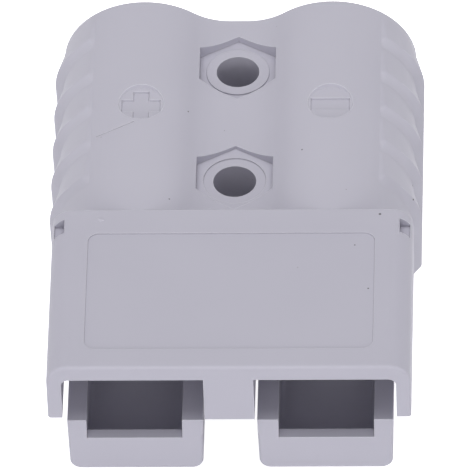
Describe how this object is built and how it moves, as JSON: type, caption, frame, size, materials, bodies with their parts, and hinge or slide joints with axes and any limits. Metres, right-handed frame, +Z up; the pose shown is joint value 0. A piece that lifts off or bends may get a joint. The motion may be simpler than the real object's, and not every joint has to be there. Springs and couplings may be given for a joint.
{
  "type": "genderless power connector housing",
  "caption": "Flat twin-barrel housing of a genderless power connector: a hood over open contact troughs in front, round cable entries behind, finned flanks.",
  "frame": {"origin": "under the middle of the housing's box, on the surface that it lies on", "axes": "+Y along the cable axes towards the cable end, the mating front faces -Y, +Z up towards the hood's plate, X across the poles"},
  "size_m": [0.0582, 0.0794, 0.026],
  "materials": {
    "housing_plastic": "satin moulded polycarbonate, light grey",
    "spring_steel": "rolled stainless spring strip"
  },
  "bodies": {
    "root": {"housing": "housing_plastic", "left_spring": "spring_steel", "right_spring": "spring_steel"}
  },
  "joints": []
}
